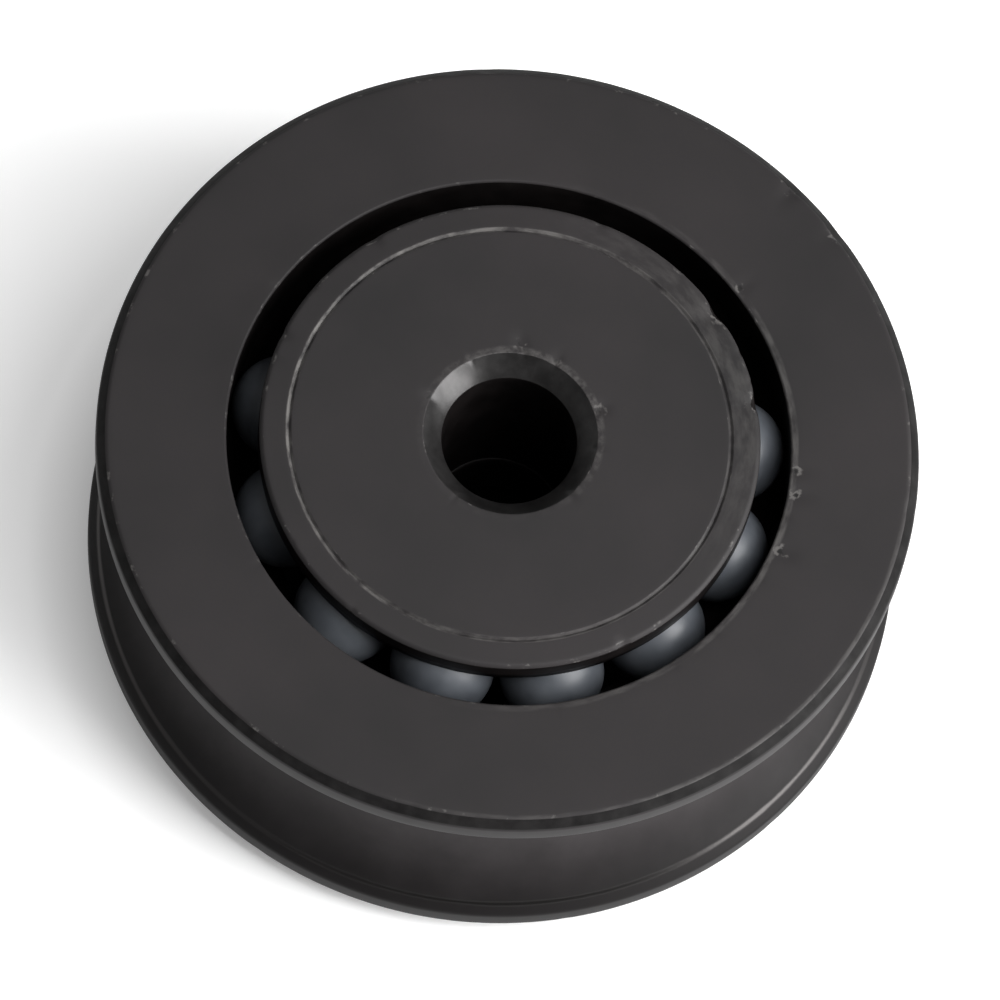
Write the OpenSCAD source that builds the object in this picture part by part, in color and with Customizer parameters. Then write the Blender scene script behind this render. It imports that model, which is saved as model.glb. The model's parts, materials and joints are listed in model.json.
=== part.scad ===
// V groove wheel: a turned steel wheel that runs on two rows of loose balls round a two-piece hub.
// The axle is +Z. The origin is on the axle, halfway between the two faces. Millimetres.

/* [Wheel] */
// Diameter over the two lips beside the groove
rim_d = 50; // [46:0.5:56]
// Width between the wheel's two flat faces
rim_w = 17.5; // [16:0.25:20]
// Chamfer where each face meets its lip
rim_chamfer = 0.6; // [0.3:0.05:0.9]
// Width of the narrow cylindrical land on each lip
land_w = 1.3; // [0.8:0.05:1.8]
// Radial depth of the straight 45 degree flank inside each lip; the rest of the groove is one arc
flank_depth = 1.2; // [0.6:0.1:2]

/* [Balls] */
// Ball diameter, a quarter of an inch
ball_d = 6.35; // [5.5:0.05:6.5]
// Diameter of the circle that the ball centres lie on
pitch_d = 27.8; // [26:0.1:30.5]
// Depth of each row's plane below the wheel's face
row_depth = 3.5; // [3.4:0.05:4]
// Gap between a ball and either race
race_clearance = 0.05; // [0.03:0.01:0.1]
// Number of balls in each row; a full row would hold thirteen
balls_per_row = 8; // [4:1:10]
// Direction of the first ball of the upper row, in degrees anticlockwise from +X
upper_start = 176; // [0:1:359]
// Direction of the first ball of the lower row
lower_start = 182; // [0:1:359]

/* [Cups] */
// Distance from the pitch circle out to the bore of the wheel's web
web_outset = 0.85; // [0.5:0.05:1.5]
// Chamfer at the mouth of each cup
cup_chamfer = 0.1; // [0.05:0.05:0.4]

/* [Hub] */
// Height of each hub face above the wheel's face
hub_proud = 1.1; // [0.6:0.1:2]
// Distance that each flange reaches past the pitch circle, over the balls
flange_reach = 1.3; // [0.6:0.05:1.6]
// Chamfer round the rim of each flange
flange_chamfer = 0.2; // [0.1:0.05:0.4]
// Distance from the pitch circle in to the hub's neck, below each race
neck_inset = 2.05; // [1.5:0.05:2.5]
// Distance of the turned line on each hub face from the flange's edge
line_inset = 1.8; // [1.2:0.1:3]
// Width of the turned line
line_w = 0.3; // [0.2:0.05:0.5]
// Depth of the turned line
line_depth = 0.12; // [0.06:0.02:0.2]
// Fall of the face between the turned line and the flange's edge
face_fall = 0.06; // [0.02:0.02:0.16]

/* [Bore] */
// Bore for the axle bolt
bore_d = 8.2; // [6.2:0.1:10.2]
// Chamfer at each mouth of the bore
bore_chamfer = 1.2; // [0.6:0.1:1.6]
// Wall of the spigot that centres the two hub halves on each other
spigot_wall = 3.4; // [2:0.1:4]
// Length of the spigot
spigot_len = 4; // [2:0.5:6]
// Radial gap between the spigot and its counterbore
spigot_gap = 0.02; // [0.02:0.01:0.05]
// Gap left at the bottom of the counterbore
spigot_end_gap = 0.2; // [0.1:0.05:0.5]

/* [Hidden] */
$fn = 96;
ball_fn = 48;
cut = 1;                                       // overrun of each cut past the surface it opens

rim_r = rim_d / 2;
face_z = rim_w / 2;

// The groove: 45 degree flanks, and a root arc tangent to both of them.
groove_half = face_z - rim_chamfer - land_w;
flank_r = rim_r - flank_depth;
arc_half = groove_half - flank_depth;
root_arc_r = arc_half / sin(45);
root_arc_centre = flank_r + arc_half;

// The races: one circle for each row, shared by the cup and the hub.
ball_r = ball_d / 2;
pitch_r = pitch_d / 2;
race_r = ball_r + race_clearance;
row_z = face_z - row_depth;
cup_r = pitch_r + race_r;
web_r = pitch_r + web_outset;

hub_z = face_z + hub_proud;
flange_r = pitch_r + flange_reach;
neck_r = pitch_r - neck_inset;
line_r = flange_r - line_inset;
edge_z = hub_z - face_fall;

bore_r = bore_d / 2;
mouth_r = bore_r + bore_chamfer;
spigot_r = bore_r + spigot_wall;

// Balls lie along part of each ring. The slack is the angle by which a ball is short of touching
// the one before it; two touching balls are touch_angle apart.
touch_angle = 2 * asin(ball_r / pitch_r);
upper_slack = [3.1, 3.6, 1.6, 1.1, 2.1, 0.6, 1.1];
lower_slack = [1.2, 2.1, 0.9];

function angle_of(i, start, slack) =
    i == 1 ? start : angle_of(i - 1, start, slack) + touch_angle + slack[(i - 2) % len(slack)];

// Half section of the groove, opening outwards past the lips.
module groove_section() {
    polygon([
        [rim_r + cut, groove_half + cut], [flank_r, arc_half],
        [flank_r, -arc_half], [rim_r + cut, -groove_half - cut]
    ]);
    translate([root_arc_centre, 0]) circle(r = root_arc_r);
}

// Half section of the upper cup: the race, the wall above it and its chamfered mouth.
module cup_section() {
    translate([pitch_r, row_z]) circle(r = race_r);
    polygon([
        [web_r - cut, row_z], [cup_r, row_z], [cup_r, face_z - cup_chamfer],
        [cup_r + cup_chamfer + cut, face_z + cut], [web_r - cut, face_z + cut]
    ]);
}

// The wheel itself, turned in one piece.
module grooved_rim() {
    color([0.25, 0.24, 0.24])
        rotate_extrude()
            difference() {
                polygon([
                    [web_r, -face_z], [rim_r - rim_chamfer, -face_z], [rim_r, -face_z + rim_chamfer],
                    [rim_r, face_z - rim_chamfer], [rim_r - rim_chamfer, face_z], [web_r, face_z]
                ]);
                groove_section();
                cup_section();
                mirror([0, 1]) cup_section();
            }
}

// Half section of the upper hub half: the neck, the flange over the balls and the chamfered bore.
// The points in joint close it on the side that meets the other half, from the neck in to the bore.
module hub_section(joint) {
    difference() {
        polygon(concat([
            [bore_r, hub_z - bore_chamfer], [mouth_r, hub_z],
            [line_r - line_w / 2, hub_z], [line_r, hub_z - line_depth], [line_r + line_w / 2, hub_z],
            [flange_r - flange_chamfer, edge_z], [flange_r, edge_z - flange_chamfer],
            [flange_r, row_z], [neck_r, row_z]
        ], joint));
        translate([pitch_r, row_z]) circle(r = race_r);
    }
}

// Upper half of the hub, with the spigot that centres the lower half.
module hub_upper() {
    color([0.27, 0.26, 0.26])
        rotate_extrude()
            hub_section([[neck_r, 0], [spigot_r, 0], [spigot_r, -spigot_len], [bore_r, -spigot_len]]);
}

// Lower half of the hub, counterbored for the spigot.
module hub_lower() {
    counterbore_r = spigot_r + spigot_gap;
    counterbore_depth = spigot_len + spigot_end_gap;
    color([0.27, 0.26, 0.26])
        mirror([0, 0, 1])
            rotate_extrude()
                hub_section([
                    [neck_r, 0], [counterbore_r, 0],
                    [counterbore_r, counterbore_depth], [bore_r, counterbore_depth]
                ]);
}

// One loose ball on the pitch circle, at the given direction and height.
module ball(direction, z) {
    color([0.50, 0.52, 0.56])
        rotate([0, 0, direction]) translate([pitch_r, 0, z]) sphere(d = ball_d, $fn = ball_fn);
}

module ball_upper(i) { ball(angle_of(i, upper_start, upper_slack), row_z); }

module ball_lower(i) { ball(angle_of(i, lower_start, lower_slack), -row_z); }

grooved_rim();
hub_upper();
hub_lower();
for (i = [1:balls_per_row]) {
    ball_upper(i);
    ball_lower(i);
}
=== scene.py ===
# %% [markdown]
# # A blackened steel V groove wheel
# This lesson dresses a finished CAD model of a track wheel. The wheel lies on its side: a grooved
# rim, a hub in two halves and two short rows of loose bearing balls. The CAD model gives every size
# and says what turns with what. Here each turned piece is worked out again as a smooth surface with
# softened, worn edges, and given the finish that blackened steel has. Nothing is moved or resized.

# %% Load the CAD model
import json
import bpy
import numpy as np
from mathutils import Matrix, Vector


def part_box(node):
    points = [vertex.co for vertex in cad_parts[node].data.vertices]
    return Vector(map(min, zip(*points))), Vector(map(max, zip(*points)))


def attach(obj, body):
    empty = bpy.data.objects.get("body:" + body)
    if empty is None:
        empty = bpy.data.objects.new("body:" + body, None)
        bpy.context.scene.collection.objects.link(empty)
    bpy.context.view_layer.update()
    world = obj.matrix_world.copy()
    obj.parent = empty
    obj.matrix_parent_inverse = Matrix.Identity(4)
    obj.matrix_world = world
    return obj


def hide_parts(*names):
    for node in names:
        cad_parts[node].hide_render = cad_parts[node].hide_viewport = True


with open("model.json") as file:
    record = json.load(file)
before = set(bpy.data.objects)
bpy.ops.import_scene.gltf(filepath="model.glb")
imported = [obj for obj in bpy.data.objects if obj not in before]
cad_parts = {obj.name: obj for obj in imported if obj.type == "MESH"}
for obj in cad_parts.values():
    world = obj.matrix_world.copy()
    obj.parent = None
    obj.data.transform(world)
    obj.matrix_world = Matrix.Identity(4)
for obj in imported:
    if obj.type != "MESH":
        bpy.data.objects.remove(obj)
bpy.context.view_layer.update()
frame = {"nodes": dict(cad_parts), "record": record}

# %% [markdown]
# ## Sizes
# The main sizes are read from the CAD nodes, so the surfaces below can't drift away from them. The
# smaller ones, such as a chamfer, can't be read off a box. They are repeated here in metres.

# %% Sizes
MM = 0.001

def measure_turning(node):
    """A turned node's outer radius, lowest height and highest height."""
    low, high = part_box(node)
    return high.x, low.z, high.z

rim_r, _, face_z = measure_turning("grooved_rim")
flange_r, spigot_z, hub_z = measure_turning("hub_upper")
low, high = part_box("ball_upper_1")
ball_r = (high.z - low.z) / 2
row_z = (high.z + low.z) / 2
pitch_r = float(np.hypot(low.x + high.x, low.y + high.y)) / 2
bore_r = frame["record"]["mounts"][0]["dims"]["r_mm"] * MM

rim_chamfer = 0.6 * MM
land_w = 1.3 * MM
flank_depth = 1.2 * MM
race_gap = 0.05 * MM
cup_chamfer = 0.1 * MM
web_outset = 0.85 * MM
neck_inset = 2.05 * MM
flange_chamfer = 0.2 * MM
face_fall = 0.06 * MM
line_inset = 1.8 * MM
line_w = 0.3 * MM
line_depth = 0.12 * MM
bore_chamfer = 1.2 * MM
spigot_wall = 3.4 * MM
spigot_gap = 0.02 * MM
spigot_end_gap = 0.2 * MM

race_r = ball_r + race_gap
cup_r = pitch_r + race_r
neck_r = pitch_r - neck_inset
line_r = flange_r - line_inset
mouth_r = bore_r + bore_chamfer
groove_half = face_z - rim_chamfer - land_w
flank_r = rim_r - flank_depth
arc_half = groove_half - flank_depth
print(f"rim radius {rim_r / MM:.2f} mm, hub height {hub_z / MM:.2f} mm")
print(f"ball radius {ball_r / MM:.3f} mm, pitch radius {pitch_r / MM:.2f} mm")

# %% [markdown]
# ## The camera
# The wheel is seen from well above, with the camera turned a little about its own line of sight, so
# that the wheel seems to lean to the right. A long lens from far off keeps the circles true
# ellipses. The camera is placed by its height angle, its turn and its distance.

# %% Camera
camera_height_angle = np.radians(67.07)
camera_turn = np.radians(10.2)
camera_distance = 24 * rim_r
frame_width_at_wheel = 2.42014 * rim_r
aim_right = -0.0223 * rim_r
aim_up = -0.145 * rim_r
sensor = 36.0

def view_axes(height_angle, turn):
    """Right, up and back vectors of a camera on the -Y side, turned by an angle about its own axis."""
    back = np.array([0, -np.cos(height_angle), np.sin(height_angle)])
    level_right = np.array([1.0, 0, 0])
    level_up = np.cross(back, level_right)
    right = np.cos(turn) * level_right + np.sin(turn) * level_up
    up = -np.sin(turn) * level_right + np.cos(turn) * level_up
    return right, up, back

right, up, back = view_axes(camera_height_angle, camera_turn)
top_centre = np.array([0, 0, face_z])
eye = top_centre + camera_distance * back
aim = top_centre + aim_right * right + aim_up * up
sight = (aim - eye) / np.linalg.norm(aim - eye)
side = np.cross(sight, up)
side /= np.linalg.norm(side)
turned = Matrix(np.stack([side, np.cross(side, sight), -sight], 1).tolist()).to_4x4()
camera_data = bpy.data.cameras.new("camera")
camera_data.sensor_width = sensor
camera_data.lens = sensor * camera_distance / frame_width_at_wheel
camera = bpy.data.objects.new("camera", camera_data)
camera.matrix_world = Matrix.Translation(Vector(eye)) @ turned
bpy.context.scene.collection.objects.link(camera)
bpy.context.scene.camera = camera
print(f"lens {camera_data.lens:.0f} mm at {camera_distance:.2f} m")

# %% [markdown]
# ## Node helpers
# A finish is a small network of nodes, and these functions write it as short sums. A value that
# comes from another node is linked, and a plain number is set on the socket.

# %% Node helpers
def add_node(tree, kind, links=(), **settings):
    """A node with its settings, and its inputs set: a socket is linked, anything else is a value."""
    made = tree.nodes.new(kind)
    for key, value in settings.items():
        setattr(made, key, value)
    for socket, value in dict(links).items():
        if isinstance(value, bpy.types.NodeSocket):
            tree.links.new(value, made.inputs[socket])
        else:
            made.inputs[socket].default_value = value
    return made

def remap(tree, value, low, high, to_low=0.0, to_high=1.0):
    """Stretches a value from one range to another, and holds it inside the second."""
    ends = {0: value, 1: low, 2: high, 3: to_low, 4: to_high}
    return add_node(tree, "ShaderNodeMapRange", ends).outputs[0]

def calculate(tree, operation, a, b):
    """One sum on two values."""
    return add_node(tree, "ShaderNodeMath", {0: a, 1: b}, operation=operation).outputs[0]

def axis_distance(tree, place):
    """The distance of a place from the Z axis, and its height."""
    parts = add_node(tree, "ShaderNodeSeparateXYZ", {0: place})
    squares = [calculate(tree, "MULTIPLY", parts.outputs[k], parts.outputs[k]) for k in (0, 1)]
    return calculate(tree, "SQRT", calculate(tree, "ADD", squares[0], squares[1]), 0.0), parts.outputs[2]

def mix_colour(tree, share, a, b):
    """Blends two colours by a share."""
    made = add_node(tree, "ShaderNodeMix", {0: share, 6: a, 7: b}, data_type="RGBA")
    return made.outputs[2]

def two_tones(tree, pattern, low, high, dark, light):
    """Blends two colours by a pattern: dark where it is at low or below, light where it is at high."""
    return mix_colour(tree, remap(tree, pattern, low, high), (*dark, 1), (*light, 1))

def compare(tree, operation, a, b):
    """One number from two vectors: their DISTANCE or their DOT_PRODUCT."""
    return add_node(tree, "ShaderNodeVectorMath", {0: a, 1: b}, operation=operation).outputs[1]

def noise(tree, place, per_mm, detail=2.0, roughness=0.5):
    """Cloudy noise on a place, with a number of blobs per millimetre."""
    made = add_node(tree, "ShaderNodeTexNoise", {"Vector": place, "Scale": per_mm / MM, "Detail": detail,
                                                 "Roughness": roughness})
    return made.outputs[0]

def new_finish(name, metallic, roughness):
    """An empty material, with its tree, its shader and the Object coordinates."""
    material = bpy.data.materials.new(name)
    material.use_nodes = True
    tree = material.node_tree
    shader = tree.nodes["Principled BSDF"]
    shader.inputs["Metallic"].default_value = metallic
    shader.inputs["Roughness"].default_value = roughness
    place = add_node(tree, "ShaderNodeTexCoord").outputs["Object"]
    return material, tree, shader, place

# %% [markdown]
# ## Floor and light
# White paper lies under the wheel and curves up into a wall far away, so there is no horizon from any
# side. A soft lamp stands on the right like a window, so the right side of the groove is bright and
# the left side dark. A second one hangs higher, and reaches down over the rim's lip to the balls. The
# sky is left dim, because satin black steel shows what is above it. Where the camera sees it, the paper
# also glows a little, so that it comes out white and yet keeps the wheel's shadow. The glow fades out
# just beside the wheel, a painted contact shadow, and under the wheel the paper is painted black, a
# painted shade that keeps the bore dark.

# %% Floor and lamps
def add_sweep(name, z, flat_r=1.4, bend=0.2, height=0.25, steps=128):
    """A round paper sweep: flat at height z as far as flat_r, then bent up into a low wall."""
    rise = np.radians(np.linspace(0, 90, 9))
    near_rings = np.array([0.05, 0.4])
    out = np.concatenate([near_rings, flat_r + bend * np.sin(rise), [flat_r + bend]])
    up = np.concatenate([0 * near_rings, bend * (1 - np.cos(rise)), [height]]) + z
    angle = np.linspace(0, 2 * np.pi, steps, endpoint=False)
    points = np.stack([np.outer(out, np.cos(angle)), np.outer(out, np.sin(angle)),
                       np.repeat(up[:, None], steps, 1)], -1)
    index = np.arange(len(out) * steps).reshape(len(out), steps)
    quads = np.stack([index[:-1], index[1:], np.roll(index[1:], -1, 1), np.roll(index[:-1], -1, 1)], -1)
    mesh = bpy.data.meshes.new(name)
    faces = quads.reshape(-1, 4).tolist() + [index[0].tolist()]
    mesh.from_pydata(points.reshape(-1, 3).tolist(), [], faces)
    mesh.shade_smooth()
    sweep = bpy.data.objects.new(name, mesh)
    bpy.context.scene.collection.objects.link(sweep)
    return sweep

def add_lamp(name, place, width, height, watts):
    """A white rectangular lamp at a place, turned to face the wheel."""
    data = bpy.data.lights.new(name, "AREA")
    data.shape = "RECTANGLE"
    data.size = width
    data.size_y = height
    data.energy = watts
    lamp = bpy.data.objects.new(name, data)
    facing = Vector(place).to_track_quat("Z", "Y").to_matrix().to_4x4()
    lamp.matrix_world = Matrix.Translation(place) @ facing
    bpy.context.scene.collection.objects.link(lamp)

def white_paper(glow, full_glow=0.95, white=0.85):
    """Matt white that glows where the camera or a reflection sees it, and is painted black under the
    wheel: a painted shade, seen through the bore.

    The glow grows from 0 under the wheel to glow beside it, a painted contact shadow, and on to
    full_glow far away.
    """
    paper = bpy.data.materials.new("white_paper")
    paper.use_nodes = True
    tree = paper.node_tree
    shader = tree.nodes["Principled BSDF"]
    shader.inputs["Roughness"].default_value = 0.9
    shader.inputs["Specular IOR Level"].default_value = 0.1
    distance = axis_distance(tree, add_node(tree, "ShaderNodeTexCoord").outputs["Object"])[0]
    # Painted shade: the paper's colour goes to black under the wheel.
    shade = remap(tree, distance, 0.5 * rim_r, 0.8 * rim_r, 0.0, white)
    tree.links.new(shade, shader.inputs["Base Color"])
    # Painted shadow: the glow fades to nothing just beside the wheel.
    near = remap(tree, distance, 0.8 * rim_r, 1.15 * rim_r, 0.0, glow)
    far = remap(tree, distance, 4 * rim_r, 20 * rim_r, 0.0, full_glow - glow)
    clear = calculate(tree, "ADD", near, far)
    ray = add_node(tree, "ShaderNodeLightPath")
    mirrored = calculate(tree, "MAXIMUM", ray.outputs["Is Glossy Ray"], ray.outputs["Is Transmission Ray"])
    seen = calculate(tree, "MAXIMUM", ray.outputs["Is Camera Ray"], mirrored)
    light = add_node(tree, "ShaderNodeEmission", {"Strength": calculate(tree, "MULTIPLY", seen, clear)})
    both = add_node(tree, "ShaderNodeAddShader", {0: shader.outputs[0], 1: light.outputs[0]})
    tree.links.new(both.outputs[0], tree.nodes["Material Output"].inputs["Surface"])
    return paper

floor = add_sweep("floor", -hub_z)
floor.data.materials.append(white_paper(glow=0.45))

world = bpy.data.worlds.new("sky")
world.use_nodes = True
sky_grey = 0.19
world.node_tree.nodes["Background"].inputs["Color"].default_value = (sky_grey, sky_grey, sky_grey, 1)
bpy.context.scene.world = world
add_lamp("window", place=(0.355, -0.085, 0.19), width=0.27, height=0.36, watts=3.2)
add_lamp("ceiling", place=(0.16, -0.05, 0.36), width=0.20, height=0.20, watts=0.9)
bpy.context.scene.view_settings.view_transform = "Standard"

# %% [markdown]
# ## Turned surfaces
# A lathe makes a shape by swinging a profile round an axis, and so does this code. A profile is a
# closed outline of points (radius, height). Real edges are never quite sharp, and a rounded edge is
# what catches the light, so each corner is softened by a small curve before the profile is swung.

# %% Profiles
def arc(centre, radius, start, end, steps=24):
    """Points on a circle: centre + radius * (cos angle, sin angle), for angles from start to end."""
    angle = np.radians(np.linspace(start, end, steps))
    ring = np.stack([np.cos(angle), np.sin(angle)], 1)
    return np.column_stack([np.array(centre) + radius * ring, np.zeros(steps)])

def soften(outline, steps=5):
    """Rounds the corners of a closed outline of rows (radius, height, rounding).

    Each corner P becomes the curve (1-t)^2 A + 2t(1-t) P + t^2 B, where A and B lie the rounding's
    length back and ahead along the two sides. The third column becomes 4t(1-t): 1 on the edge's
    crest and 0 where it has run out.
    """
    point = outline[:, :2]
    back_side = np.roll(point, 1, 0) - point
    next_side = np.roll(point, -1, 0) - point
    back_len = np.linalg.norm(back_side, axis=1)
    next_len = np.linalg.norm(next_side, axis=1)
    run = np.minimum(outline[:, 2], 0.45 * np.minimum(back_len, next_len))[:, None]
    a = point + back_side / back_len[:, None] * run
    b = point + next_side / next_len[:, None] * run
    t = np.linspace(0, 1, steps)[:, None, None]
    curve = (1 - t) ** 2 * a + 2 * t * (1 - t) * point + t ** 2 * b
    crest = np.broadcast_to(4 * t * (1 - t), curve.shape[:2] + (1,)) * (run > 0)
    rows = np.concatenate([curve, crest], 2).transpose(1, 0, 2).reshape(-1, 3)
    moved = np.linalg.norm(rows[:, :2] - np.roll(rows[:, :2], 1, 0), axis=1)
    return rows[moved > 1e-7]

def subdivide(outline, longest):
    """Adds points along the long sides of a closed outline, so that none is longer than a length."""
    closed = np.vstack([outline, outline[:1]])
    length = np.concatenate([[0], np.cumsum(np.linalg.norm(np.diff(closed[:, :2], axis=0), axis=1))])
    even = np.arange(0, length[-1], longest)
    clear = np.abs(even[:, None] - length[None, :]).min(1) > 0.3 * longest
    where = np.sort(np.concatenate([length[:-1], even[clear]]))
    return np.stack([np.interp(where, length, closed[:, k]) for k in range(3)], 1)

profile_test = soften(np.array([[1.0, 0, 0.1], [2, 0, 0.1], [2, 1, 0.1], [1, 1, 0.1]]))
print("a square with softened corners has", len(profile_test), "points")

# %% Swinging a profile
def grid_object(name, points, crest):
    """A mesh from an array of points, rings x steps x 3, closed both ways, with its faces outwards."""
    rings, steps = points.shape[:2]
    index = np.arange(rings * steps).reshape(rings, steps)
    across = np.roll(index, -1, 0)
    quads = np.stack([index, across, np.roll(across, -1, 1), np.roll(index, -1, 1)], -1)
    mesh = bpy.data.meshes.new(name)
    mesh.from_pydata(points.reshape(-1, 3).tolist(), [], quads.reshape(-1, 4).tolist())
    mesh.shade_smooth()
    brightening = mesh.attributes.new("crest", "FLOAT", "POINT")
    brightening.data.foreach_set("value", crest.reshape(-1).astype(np.float32))
    piece = bpy.data.objects.new(name, mesh)
    bpy.context.scene.collection.objects.link(piece)
    return piece

def turn_profile(name, outline, wear, steps=540, longest=0.45 * MM):
    """Swings an outline round the Z axis: x = r cos a, y = r sin a, z = h, for angle a all the way round.

    The wear function takes the arrays r, h, a and crest, and gives how far each point is pushed
    outwards and upwards.
    """
    rows = subdivide(soften(outline), longest)
    angle = np.linspace(0, 2 * np.pi, steps, endpoint=False)
    r, a = np.meshgrid(rows[:, 0], angle, indexing="ij")
    h = np.broadcast_to(rows[:, 1:2], r.shape)
    crest = np.broadcast_to(rows[:, 2:3], r.shape)
    out, lift = wear(r, h, a, crest)
    points = np.stack([(r + out) * np.cos(a), (r + out) * np.sin(a), h + lift], -1)
    return grid_object(name, points, crest)

# %% [markdown]
# ## Knocks
# Handling knocks small dents into the corners of soft steel, and each leaves a bright scar where the
# black skin is gone. A knock is a place on the piece, with a size: the surface is pushed in there by
# a bell curve, and further on the finish shows bare steel round the same place. Inside the dent the
# colour is painted near black: a painted shade.

# %% Knocks and dents
def knock(direction, radius_mm, height, size_mm):
    """A knock's place as (x, y, z) and its size, from a direction in degrees and a radius."""
    turn = np.radians(direction)
    return np.array([radius_mm * MM * np.cos(turn), radius_mm * MM * np.sin(turn), height, size_mm * MM])

def scatter_knocks(seed, count, radius_mm, height, size_mm):
    """Seeded knocks round one edge, from half the given size up to all of it."""
    chance = np.random.default_rng(seed)
    return [knock(chance.uniform(0, 360), radius_mm, height, size_mm * chance.uniform(0.5, 1))
            for _ in range(count)]

def press_knocks(r, h, a, knocks, inward, depth=0.22, deepest=0.2 * MM):
    """Pushes the surface in and down by depth * size * exp(-(distance / size)^2).

    The knocks add up, but never to more than the deepest.
    """
    x, y = r * np.cos(a), r * np.sin(a)
    sink = np.zeros_like(r)
    for at_x, at_y, at_z, size in knocks:
        square = (x - at_x) ** 2 + (y - at_y) ** 2 + (h - at_z) ** 2
        sink += depth * size * np.exp(-square / size ** 2)
    sink = np.minimum(sink, deepest)
    return -inward * sink, -np.sign(h) * sink

rim_knocks = [knock(4.6, 17.5, face_z, 0.45), knock(359.5, 17.6, face_z, 0.5),
              knock(347, 17.7, face_z, 0.55), knock(45, 24.7, face_z, 0.6),
              knock(54, 24.3, face_z, 0.5), knock(45.9, 17.6, face_z, 0.4)]
hub_knocks = [knock(94, 5.9, hub_z, 0.45), knock(70, 5.5, hub_z, 0.4), knock(27, 5.6, hub_z, 0.5),
              knock(165, 5.3, hub_z, 0.45), knock(43, 15.1, hub_z, 0.8), knock(19, 15.1, hub_z, 0.7)]
print("knocks:", len(rim_knocks), "on the rim and", len(hub_knocks), "on the hub")

# %% [markdown]
# ## Finishes
# Blackened steel is steel with a skin of dark oxide, lightly oiled: nearly black, satin, a little
# mottled, with fine rings left by the lathe tool. Where an edge is rubbed, the oxide goes first and
# bare steel shows. The patterns read Object coordinates, so each piece gets its own. Some colours
# here are painted light: the cups, the bore and the hub's side under the flange are painted near
# black, the groove darker towards its bottom and the outer chamfers darker than the faces, all
# painted shade, and two of the bright rings are painted light.

# %% Blackened steel
BARE_AND_PAINTED_LIGHT = (0.24, 0.23, 0.22, 1)
PAINTED_PIT_SHADE = (0.008, 0.008, 0.008, 1)

def craters(tree, place, knocks):
    """Two masks for the knocks: broken bright flecks round each one, and the small pit inside, painted dark
    as a painted shade.
    """
    ragged = calculate(tree, "MULTIPLY", noise(tree, place, 2.5, 3.0, 0.7), 1.4)
    nearest = 9.0
    for x, y, z, size in knocks:
        far = calculate(tree, "DIVIDE", compare(tree, "DISTANCE", place, (x, y, z)), size)
        nearest = calculate(tree, "MINIMUM", far, nearest)
    reach = calculate(tree, "ADD", nearest, ragged)
    pit = remap(tree, reach, 0.95, 1.15, 1.0, 0.0)
    lip = calculate(tree, "SUBTRACT", remap(tree, reach, 1.35, 1.75, 1.0, 0.0), pit)
    flecks = remap(tree, noise(tree, place, 1.7, 2.0, 0.6), 0.47, 0.56)
    return calculate(tree, "MULTIPLY", lip, flecks), pit

def round_place(tree, place, radius, reach):
    """A place whose patterns run round the axis: (reach * x / r, reach * y / r, r)."""
    flat = add_node(tree, "ShaderNodeVectorMath", {0: place, 1: (1, 1, 0)}, operation="MULTIPLY").outputs[0]
    unit = add_node(tree, "ShaderNodeVectorMath", {0: flat}, operation="NORMALIZE").outputs[0]
    wide = add_node(tree, "ShaderNodeVectorMath", {0: unit, "Scale": reach}, operation="SCALE").outputs[0]
    lift = add_node(tree, "ShaderNodeCombineXYZ", {2: radius}).outputs[0]
    return add_node(tree, "ShaderNodeVectorMath", {0: wide, 1: lift}, operation="ADD").outputs[0]

def bright_ring_wear_and_painted_light(tree, place, radius, strokes, at_r, width, azimuth, start, shares):
    """A bright ring in broken strokes, most on the side of an azimuth; some rings are rubbed wear and some
    painted light.

    The share goes from the first one, where the way along the azimuth is start * at_r, to the second.
    """
    off = calculate(tree, "ABSOLUTE", calculate(tree, "SUBTRACT", radius, at_r), 0.0)
    ring = remap(tree, off, 0.5 * width, width, 1.0, 0.0)
    heading = (float(np.cos(np.radians(azimuth))), float(np.sin(np.radians(azimuth))), 0)
    share = remap(tree, compare(tree, "DOT_PRODUCT", place, heading), start * at_r, at_r, *shares)
    broken = remap(tree, strokes, 0.40, 0.62)
    return calculate(tree, "MULTIPLY", ring, calculate(tree, "MULTIPLY", broken, share))

def wear_and_painted_light_share(tree, place, radius, lip, rings):
    """How far the colour goes to bare steel: on the crests of edges, round the knocks and on the rings, of
    which some are rubbed wear and some painted light.
    """
    crest = add_node(tree, "ShaderNodeAttribute", attribute_name="crest").outputs["Fac"]
    patchy = remap(tree, noise(tree, place, 1.1, 4.0, 0.7), 0.58, 0.68, 0.0, 0.4)
    brightening = calculate(tree, "MULTIPLY", crest, patchy)
    brightening = calculate(tree, "MAXIMUM", brightening, calculate(tree, "MULTIPLY", lip, 0.35))
    strokes = noise(tree, round_place(tree, place, radius, 5 * MM), 1.6, 4.0, 0.65)
    for ring in rings:
        brightening = calculate(tree, "MAXIMUM", brightening, bright_ring_wear_and_painted_light(tree, place, radius, strokes, *ring))
    return brightening

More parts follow.
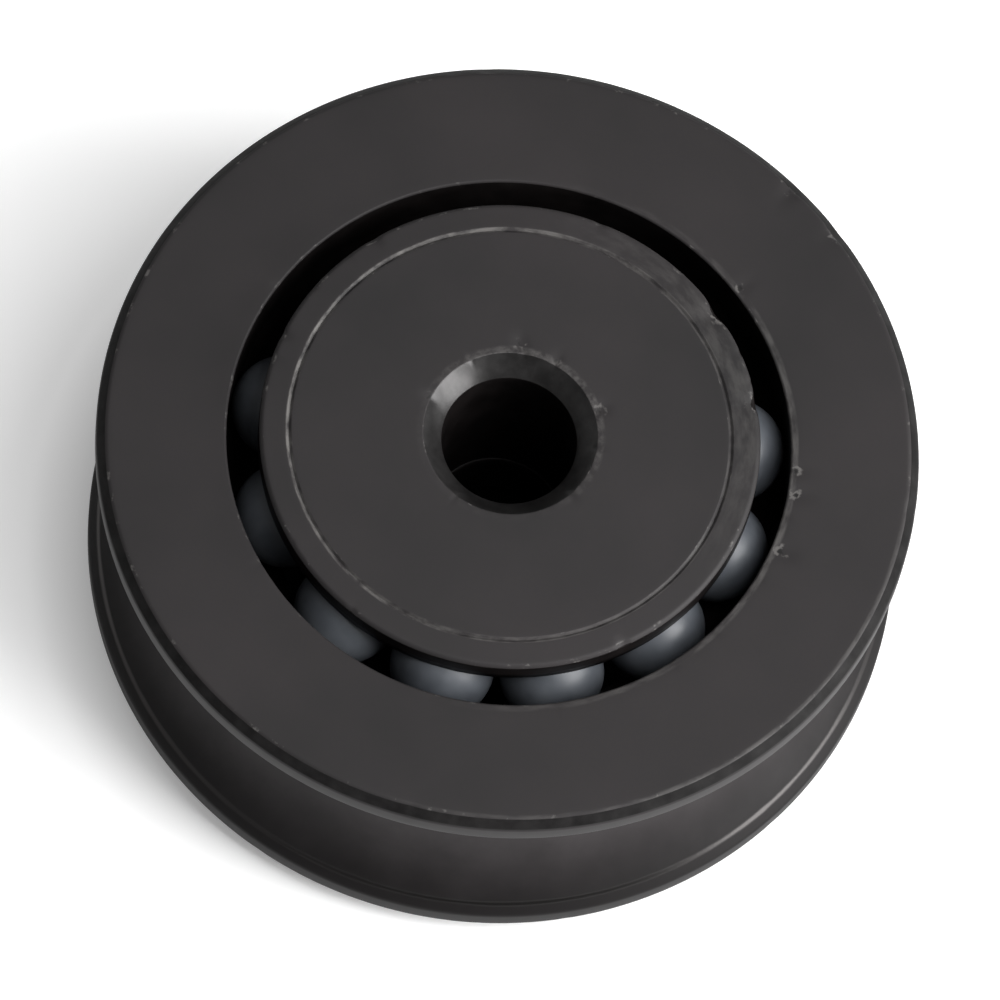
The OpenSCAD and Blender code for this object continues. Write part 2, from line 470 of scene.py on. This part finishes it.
def blackened_steel(name, dark, light, knocks, rings):
    """Oxide in two close tones with lathe marks in the bump, rubbed bare on crests, knocks and rings; the
    knocks' pits are painted shade and some rings painted light.

    Each of the rings is the at_r, width, azimuth, start and shares of a bright ring.
    """
    material, tree, shader, place = new_finish(name, 0.0, 0.5)
    shader.inputs["Specular IOR Level"].default_value = 0.2
    cloud = noise(tree, place, 0.09, 5.0, 0.55)
    grain = noise(tree, place, 4.0, 2.0)
    tone = calculate(tree, "MULTIPLY", remap(tree, cloud, 0.3, 0.7), remap(tree, grain, 0.2, 0.8, 0.7, 1.0))
    oxide = mix_colour(tree, tone, (*dark, 1), (*light, 1))
    radius, height = axis_distance(tree, place)
    lip, pit = craters(tree, place, knocks)
    brightening = wear_and_painted_light_share(tree, place, radius, lip, rings)
    # Painted shade: the pit inside each knock is painted near black.
    oxide_with_pit_shade = mix_colour(tree, calculate(tree, "MULTIPLY", pit, 0.7), oxide, PAINTED_PIT_SHADE)
    tree.links.new(mix_colour(tree, brightening, oxide_with_pit_shade, BARE_AND_PAINTED_LIGHT), shader.inputs["Base Color"])
    ring_place = add_node(tree, "ShaderNodeCombineXYZ", {0: radius, 2: height}).outputs[0]
    lathe = noise(tree, ring_place, 6.0, 3.0, 0.6)
    fine = calculate(tree, "MULTIPLY", grain, 0.5)
    relief = calculate(tree, "ADD", calculate(tree, "MULTIPLY", lathe, 0.6), fine)
    bump = add_node(tree, "ShaderNodeBump", {"Strength": 0.35, "Distance": 0.01 * MM, "Height": relief})
    tree.links.new(bump.outputs[0], shader.inputs["Normal"])
    tree.links.new(remap(tree, cloud, 0.3, 0.7, 0.50, 0.62), shader.inputs["Roughness"])
    return material

def cut_corner(name, metallic, level, grey, rough):
    """A chamfer, a little smoother than the faces, in two close tones round a grey."""
    material, tree, shader, place = new_finish(name, metallic, rough)
    shader.inputs["Specular IOR Level"].default_value = level
    tint = grey * np.array([1, 0.96, 0.96])
    colour = two_tones(tree, noise(tree, place, 0.8, 4.0, 0.6), 0.35, 0.7, 0.7 * tint, 1.4 * tint)
    tree.links.new(colour, shader.inputs["Base Color"])
    return material

GROOVE_PAINTED_SHADE = (0.007, 0.006, 0.0062, 1)
RUBBED = (0.042, 0.040, 0.0395, 1)

def groove_with_painted_shade(name):
    """The groove and its lands: dull oxide, painted darker towards the bottom of the groove and on the
    lower land as painted shade, and the two rings a track rubs.
    """
    material, tree, shader, place = new_finish(name, 0.0, 0.55)
    shader.inputs["Specular IOR Level"].default_value = 0.15
    smear = noise(tree, place, 0.3, 4.0, 0.6)
    radius, height = axis_distance(tree, place)
    ragged = calculate(tree, "ADD", height, calculate(tree, "MULTIPLY", smear, 2 * MM))
    unshaded_oxide = two_tones(tree, smear, 0.3, 0.7, (0.029, 0.0255, 0.0265), (0.038, 0.0340, 0.0352))
    # Painted shade: the groove is painted darker towards its bottom.
    above = remap(tree, ragged, -0.75 * groove_half, -0.10 * groove_half)
    land = remap(tree, calculate(tree, "ABSOLUTE", height, 0.0), groove_half, groove_half + 0.1 * MM)
    painted_shade_low = mix_colour(tree, above, GROOVE_PAINTED_SHADE, unshaded_oxide)
    # Painted shade: the lower land is painted darker than the upper one.
    lands = two_tones(tree, height, -0.1 * MM, 0.1 * MM, (0.011, 0.0102, 0.0104), (0.020, 0.0184, 0.0188))
    colour = mix_colour(tree, land, painted_shade_low, lands)
    off = calculate(tree, "ABSOLUTE", calculate(tree, "SUBTRACT", radius, rim_r - 0.5 * flank_depth), 0.0)
    wavy = calculate(tree, "ADD", off, calculate(tree, "MULTIPLY", smear, 0.1 * MM))
    rubbed = remap(tree, wavy, 0.10 * MM, 0.20 * MM, 1.0, 0.0)
    tree.links.new(mix_colour(tree, rubbed, colour, RUBBED), shader.inputs["Base Color"])
    tree.links.new(rubbed, shader.inputs["Metallic"])
    tree.links.new(remap(tree, rubbed, 0.0, 1.0, 0.55, 0.30), shader.inputs["Roughness"])
    return material

def recess_painted_shade(name):
    """The races, the bore and the hub's side under the flange: painted near black, a painted shade in these
    recesses.
    """
    material, tree, shader, place = new_finish(name, 0.0, 0.4)
    shader.inputs["Specular IOR Level"].default_value = 0.12
    film = noise(tree, place, 0.6, 3.0)
    colour = two_tones(tree, film, 0.3, 0.7, (0.004, 0.0033, 0.0033), (0.009, 0.0075, 0.0075))
    tree.links.new(colour, shader.inputs["Base Color"])
    return material

def ball_steel(name):
    """Hard steel balls, dulled by use and oil: blue-grey and matt, with smears of thicker oil."""
    material, tree, shader, place = new_finish(name, 0.0, 0.5)
    shader.inputs["Specular IOR Level"].default_value = 0.5
    film = noise(tree, place, 0.35, 3.0, 0.6)
    colour = two_tones(tree, film, 0.35, 0.65, (0.053, 0.0585, 0.068), (0.078, 0.0855, 0.097))
    tree.links.new(colour, shader.inputs["Base Color"])
    tree.links.new(remap(tree, film, 0.3, 0.7, 0.42, 0.54), shader.inputs["Roughness"])
    return material

# The first ring is the rubbed lip of the cups. The second, on the outer edge towards the window lamp, is a
# painted highlight.
rim_wear_and_highlight_rings = [(cup_r + cup_chamfer + 0.12 * MM, 0.30 * MM, -5, -0.1, (0.0, 0.20)),
             (rim_r - rim_chamfer - 0.06 * MM, 0.18 * MM, -42, 0.5, (0.0, 0.16))]
# In the hub's turned line the first ring is rubbed wear and the second lightens the line's shaded flank:
# painted light. The last two are rubbed wear round the mouth and the flange.
hub_wear_and_light_rings = [(line_r + 0.3 * line_w, 0.5 * line_w, 165, -1.0, (0.15, 0.45)),
             (line_r - 0.1 * line_w, 0.5 * line_w, 165, -1.0, (0.12, 0.30)),
             (mouth_r + 0.15 * MM, 0.35 * MM, 60, -0.4, (0.02, 0.20)),
             (flange_r - 1.0 * MM, 1.0 * MM, 30, 0.5, (0.0, 0.10))]
rim_finish = blackened_steel("blackened_rim", (0.0215, 0.0203, 0.0208), (0.0285, 0.0255, 0.0263),
                             rim_knocks, rim_wear_and_highlight_rings)
hub_finish = blackened_steel("blackened_hub", (0.0230, 0.0218, 0.0223), (0.0300, 0.0268, 0.0277),
                             hub_knocks, hub_wear_and_light_rings)
# The outer chamfers are painted darker than the faces: painted shade.
chamfer_painted_shade = cut_corner("cut_chamfer_painted_dark", metallic=0.0, level=0.05, grey=0.013, rough=0.5)
mouth_finish = cut_corner("cut_mouth", metallic=0.6, level=0.5, grey=0.030, rough=0.32)
groove_oxide_and_painted_shade = groove_with_painted_shade("groove_with_painted_shade")
# The cups, the bore and the hub's side under the flange are painted near black: painted shade.
race_painted_shade = recess_painted_shade("recess_painted_shade")
ball_finish = ball_steel("oiled_balls")
made = (rim_finish, hub_finish, chamfer_painted_shade, mouth_finish, groove_oxide_and_painted_shade, race_painted_shade, ball_finish)
print("finishes:", ", ".join(finish.name for finish in made))

# %% [markdown]
# ## The grooved rim
# One turning with a V groove round the outside, whose bottom is one wide arc, and a ball cup in each
# face. The outline goes along the upper face, down over the groove, back along the lower face and
# up through the two cups.

# %% Rim
def rim_outline():
    """The closed outline of the rim, in rows (radius, height, rounding)."""
    sharp, soft = 0.08 * MM, 0.18 * MM
    root_r = arc_half / np.sin(np.radians(45))
    root = arc((flank_r + arc_half, 0), root_r, 135, 225, 48)
    race_turn = np.degrees(np.arccos(web_outset / race_r))
    upper_race = arc((pitch_r, row_z), race_r, -race_turn, 0)
    lower_race = arc((pitch_r, -row_z), race_r, 0, race_turn)
    corners = [[cup_r + cup_chamfer, face_z, sharp], [rim_r - rim_chamfer, face_z, soft],
               [rim_r, face_z - rim_chamfer, soft], [rim_r, groove_half, soft]]
    mirrored = [[r, -z, rounding] for r, z, rounding in corners[::-1]]
    lip = [[cup_r, face_z - cup_chamfer, sharp]]
    return np.vstack([corners, root, mirrored, [[cup_r, -face_z + cup_chamfer, sharp]], lower_race,
                      upper_race, lip])

all_rim_knocks = (rim_knocks + scatter_knocks(3, 12, rim_r / MM - 0.2, face_z - 0.2 * MM, 0.4)
                  + scatter_knocks(4, 8, cup_r / MM, face_z, 0.3)
                  + scatter_knocks(5, 16, rim_r / MM - 0.2, -face_z + 0.2 * MM, 0.4))

def rim_wear(r, h, a, crest):
    """Knocks push the outer corners towards the axis, and the cup's mouth a little away from it."""
    return press_knocks(r, h, a, all_rim_knocks, np.where(r > pitch_r + 2 * race_r, 1.0, -0.3))

def finish_turning(piece, node, body, finishes, pick):
    """Puts the finishes on a turning and hands it to its body.

    pick takes each face's distance from the axis and its height, and gives the number of its finish.
    """
    for finish in finishes:
        piece.data.materials.append(finish)
    count = len(piece.data.polygons)
    centre = np.empty(count * 3)
    piece.data.polygons.foreach_get("center", centre)
    x, y, z = centre.reshape(-1, 3).T
    piece.data.polygons.foreach_set("material_index", pick(np.hypot(x, y), z).astype(np.int32))
    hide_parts(node)
    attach(piece, body)
    print(piece.name, count, "faces")

def pick_rim_finish(r, z):
    """0 on the faces, 1 in the cups (painted shade), 2 in the groove and on its lands, 3 on the outer
    chamfers (painted shade).
    """
    cut = 0.95 * rim_chamfer
    cup = (r < cup_r + 0.02 * MM) & (abs(z) < face_z - 0.4 * MM)
    groove = (r > cup_r + 1 * MM) & (abs(z) < face_z - cut)
    chamfer = (r > rim_r - cut) & (abs(z) > face_z - cut)
    return np.where(cup, 1, np.where(groove, 2, np.where(chamfer, 3, 0)))

rim = turn_profile("rim_turning", rim_outline(), rim_wear, longest=0.75 * MM)
finish_turning(rim, "grooved_rim", "wheel",
               (rim_finish, race_painted_shade, groove_oxide_and_painted_shade, chamfer_painted_shade), pick_rim_finish)

# %% [markdown]
# ## The hub
# Two turned halves, each with a flange that reaches out over its row of balls. A line is turned into
# the face near the flange's edge, and the bore has a chamfered mouth. The upper half has a spigot
# that sits in a counterbore in the lower one.

# %% Hub halves
def hub_outline(side, joint):
    """One half's closed outline. side is 1 for the upper half and -1 for the lower one.

    joint is the part of the outline on the side that meets the other half.
    """
    sharp, soft = 0.06 * MM, 0.12 * MM
    line_side, line_tip = 0.04 * MM, 0.02 * MM
    edge_z = hub_z - face_fall
    race_start = np.degrees(np.arccos((flange_r - pitch_r) / race_r))
    race_end = 360 - np.degrees(np.arccos(-neck_inset / race_r))
    race = arc((pitch_r, row_z), race_r, race_start, race_end, 40)
    face = [[bore_r, hub_z - bore_chamfer, sharp], [mouth_r, hub_z, sharp],
            [line_r - line_w / 2, hub_z, line_side], [line_r, hub_z - line_depth, line_tip],
            [line_r + line_w / 2, hub_z, line_side],
            [flange_r - flange_chamfer, edge_z, soft], [flange_r, edge_z - flange_chamfer, soft]]
    outline = np.vstack([face, race, joint])
    outline[:, 1] *= side
    return outline[::-1] if side < 0 else outline

def hub_wear(side):
    """The wear function of one hub half: knocks round the bore's mouth and the flange's edge."""
    knocks = (scatter_knocks(11 + side, 6, mouth_r / MM, side * hub_z, 0.3)
              + scatter_knocks(21 + side, 14, flange_r / MM - 0.1, side * hub_z, 0.35))
    knocks += hub_knocks if side > 0 else []
    return lambda r, h, a, crest: press_knocks(r, h, a, knocks, np.where(r > 0.5 * flange_r, 1.0, -0.5))

def pick_hub_finish(r, z):
    """0 on the face and the flange's edge, 1 under the flange and in the bore (painted shade), 2 on the
    bore's chamfer.
    """
    under = (abs(z) < hub_z - face_fall - flange_chamfer) & (r > mouth_r)
    hidden = under | (r < bore_r + 0.02 * MM)
    chamfer = (r < mouth_r - 0.02 * MM) & (abs(z) > hub_z - 0.98 * bore_chamfer)
    return np.where(chamfer, 2, np.where(hidden, 1, 0))

spigot_r = bore_r + spigot_wall
counter_r = spigot_r + spigot_gap
counter_z = spigot_z - spigot_end_gap
upper_joint = [[neck_r, 0, 0], [spigot_r, 0, 0], [spigot_r, spigot_z, 0.1 * MM],
               [bore_r, spigot_z, 0.1 * MM]]
lower_joint = [[neck_r, 0, 0], [counter_r, 0, 0], [counter_r, -counter_z, 0], [bore_r, -counter_z, 0]]

for side, joint, word in ((1, upper_joint, "upper"), (-1, lower_joint, "lower")):
    half = turn_profile(f"hub_{word}_turning", hub_outline(side, joint), hub_wear(side))
    finish_turning(half, f"hub_{word}", "hub", (hub_finish, race_painted_shade, mouth_finish),
                   pick_hub_finish)

# %% [markdown]
# ## The balls
# A ball is made from a cube: each of the six faces is a square grid, and every point is pushed out to
# the same distance from the middle. The faces stay nearly even, with no poles to pinch the light.

# %% Balls
def ball_surface(name, centre, radius, steps=24):
    """Six square grids pushed out to a sphere: point = centre + radius * p / |p|.

    On each grid p = (1, tan u, tan v) with u and v from -45 to 45 degrees, which evens out the faces.
    """
    t = np.tan(np.linspace(-np.pi / 4, np.pi / 4, steps + 1))
    u, v = np.meshgrid(t, t, indexing="ij")
    one = np.ones_like(u)
    sides = [np.stack([s * one, s * u, v], -1)[..., list(order)]
             for order in ((0, 1, 2), (2, 0, 1), (1, 2, 0)) for s in (1, -1)]
    p = np.stack(sides).reshape(-1, 3)
    points = np.array(centre) + radius * p / np.linalg.norm(p, axis=1)[:, None]
    index = np.arange(len(p)).reshape(6, steps + 1, steps + 1)
    quads = np.stack([index[:, :-1, :-1], index[:, 1:, :-1], index[:, 1:, 1:], index[:, :-1, 1:]], -1)
    key = np.round(points / 1e-8).astype(np.int64)
    _, first, same = np.unique(key, axis=0, return_index=True, return_inverse=True)
    mesh = bpy.data.meshes.new(name)
    mesh.from_pydata(points[first].tolist(), [], same.reshape(-1)[quads.reshape(-1, 4)].tolist())
    mesh.shade_smooth()
    piece = bpy.data.objects.new(name, mesh)
    bpy.context.scene.collection.objects.link(piece)
    return piece

for row in ("upper", "lower"):
    nodes = sorted(n for n in frame["nodes"] if n.startswith(f"ball_{row}_"))
    for node in nodes:
        low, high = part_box(node)
        steel = ball_surface(node.replace("ball", "bearing_ball"), (low + high) / 2, ball_r)
        steel.data.materials.append(ball_finish)
        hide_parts(node)
        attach(steel, f"{row}_balls")
    print(row, "row:", len(nodes), "balls")
